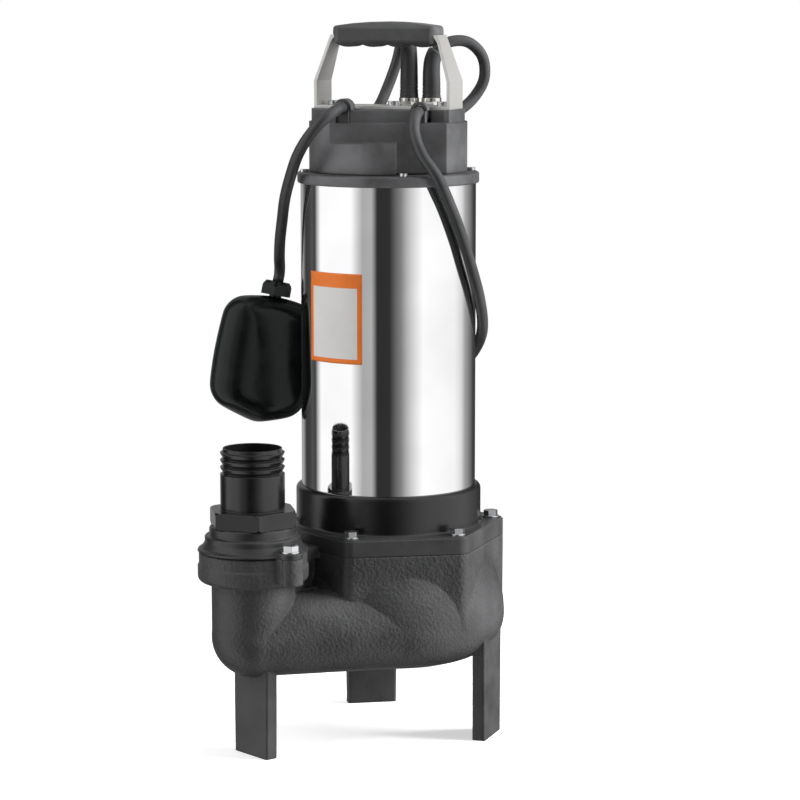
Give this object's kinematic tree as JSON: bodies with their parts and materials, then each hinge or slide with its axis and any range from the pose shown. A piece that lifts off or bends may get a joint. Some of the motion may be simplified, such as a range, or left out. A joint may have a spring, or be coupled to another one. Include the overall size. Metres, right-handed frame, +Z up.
{
  "type": "submersible sump pump",
  "caption": "Submersible sewage pump: polished motor tube on a black cast volute with legs, a carrying handle, an upright hose barb, a tethered float switch and a coiled power cord.",
  "frame": {"origin": "on the ground under the middle of the pump's footprint, measured without its cords", "axes": "+Z up along the motor axis; -Y is the side that the cover's flat front faces; the hose outlet stands to -X and -Y of the motor axis, which is at x = 0.0272 m, y = 0.0200 m"},
  "size_m": [0.2414, 0.4617, 0.568],
  "materials": {
    "rough_iron": "black paint on rough sand-cast iron",
    "smooth_iron": "black paint on fine cast iron, satin",
    "polished_steel": "mirror-polished stainless steel",
    "satin_steel": "satin stainless steel strip",
    "bolt_steel": "bright zinc-plated steel",
    "gasket": "dark gasket sheet",
    "black_rubber": "black rubber, slightly shiny",
    "float_plastic": "glossy black moulded plastic",
    "grip_plastic": "black moulded grip, satin",
    "white_plastic": "off-white moulded plastic",
    "copper": "enamelled copper windings",
    "laminations": "electrical steel laminations",
    "ceramic": "pale ceramic",
    "carbon": "carbon, dull",
    "impeller_iron": "bare cast iron",
    "capacitor_case": "plain aluminium can",
    "nickel": "nickel-plated brass",
    "pin_brass": "bright brass"
  },
  "bodies": {
    "pump": {"volute_casing": "rough_iron", "casing_gasket": "gasket", "oil_chamber": "smooth_iron", "casing_bolts": "bolt_steel", "seal_seat": "ceramic", "lower_bearing_outer": "bolt_steel", "upper_bearing_outer": "bolt_steel", "motor_shell": "polished_steel", "stator_core": "laminations", "stator_windings": "copper", "upper_bracket": "smooth_iron", "bracket_screws": "bolt_steel", "cover_gasket": "gasket", "top_cover": "smooth_iron", "capacitor": "capacitor_case", "terminal_block": "white_plastic", "flange_gasket": "gasket", "outlet_adapter": "smooth_iron", "adapter_bolts": "bolt_steel", "hose_barb": "smooth_iron", "handle_strap": "satin_steel", "handle_grip": "grip_plastic", "strap_screws": "bolt_steel", "cable_glands": "nickel", "float_cable_boot": "black_rubber", "power_cord_boot": "black_rubber", "cable_clips": "black_rubber", "float_cable_fixed": "black_rubber", "power_cord": "black_rubber", "cord_coil": "black_rubber", "cord_tail": "black_rubber", "power_plug": "black_rubber", "plug_pins": "pin_brass"},
    "rotor": {"motor_shaft": "bolt_steel", "rotor_core": "laminations", "impeller": "impeller_iron", "impeller_nut": "bolt_steel", "seal_ring": "carbon", "seal_spring": "bolt_steel", "lower_bearing_inner": "bolt_steel", "lower_bearing_balls": "bolt_steel", "upper_bearing_inner": "bolt_steel", "upper_bearing_balls": "bolt_steel"},
    "float": {"float_cable_drop": "black_rubber", "float_front_shell": "float_plastic", "float_rear_shell": "float_plastic", "float_gland_nut": "float_plastic", "float_ball_cage": "white_plastic", "float_microswitch": "white_plastic"},
    "float_ball_body": {"float_ball": "bolt_steel"}
  },
  "joints": [
    {"name": "rotor_spin", "type": "hinge", "parent": "pump", "child": "rotor", "pos_m": [0.02722, 0.02003, 0.185], "axis": [0, 0, 1], "continuous": true},
    {"name": "float_swing", "type": "hinge", "parent": "pump", "child": "float", "pos_m": [-0.00846, -0.01806, 0.502], "axis": [0.342, 0.9397, 0], "range_deg": [0, 90]},
    {"name": "float_ball_slide", "type": "slide", "parent": "float", "child": "float_ball_body", "axis": [0.1807, 0.0843, 0.9799], "range_m": [0, 0.022]}
  ]
}
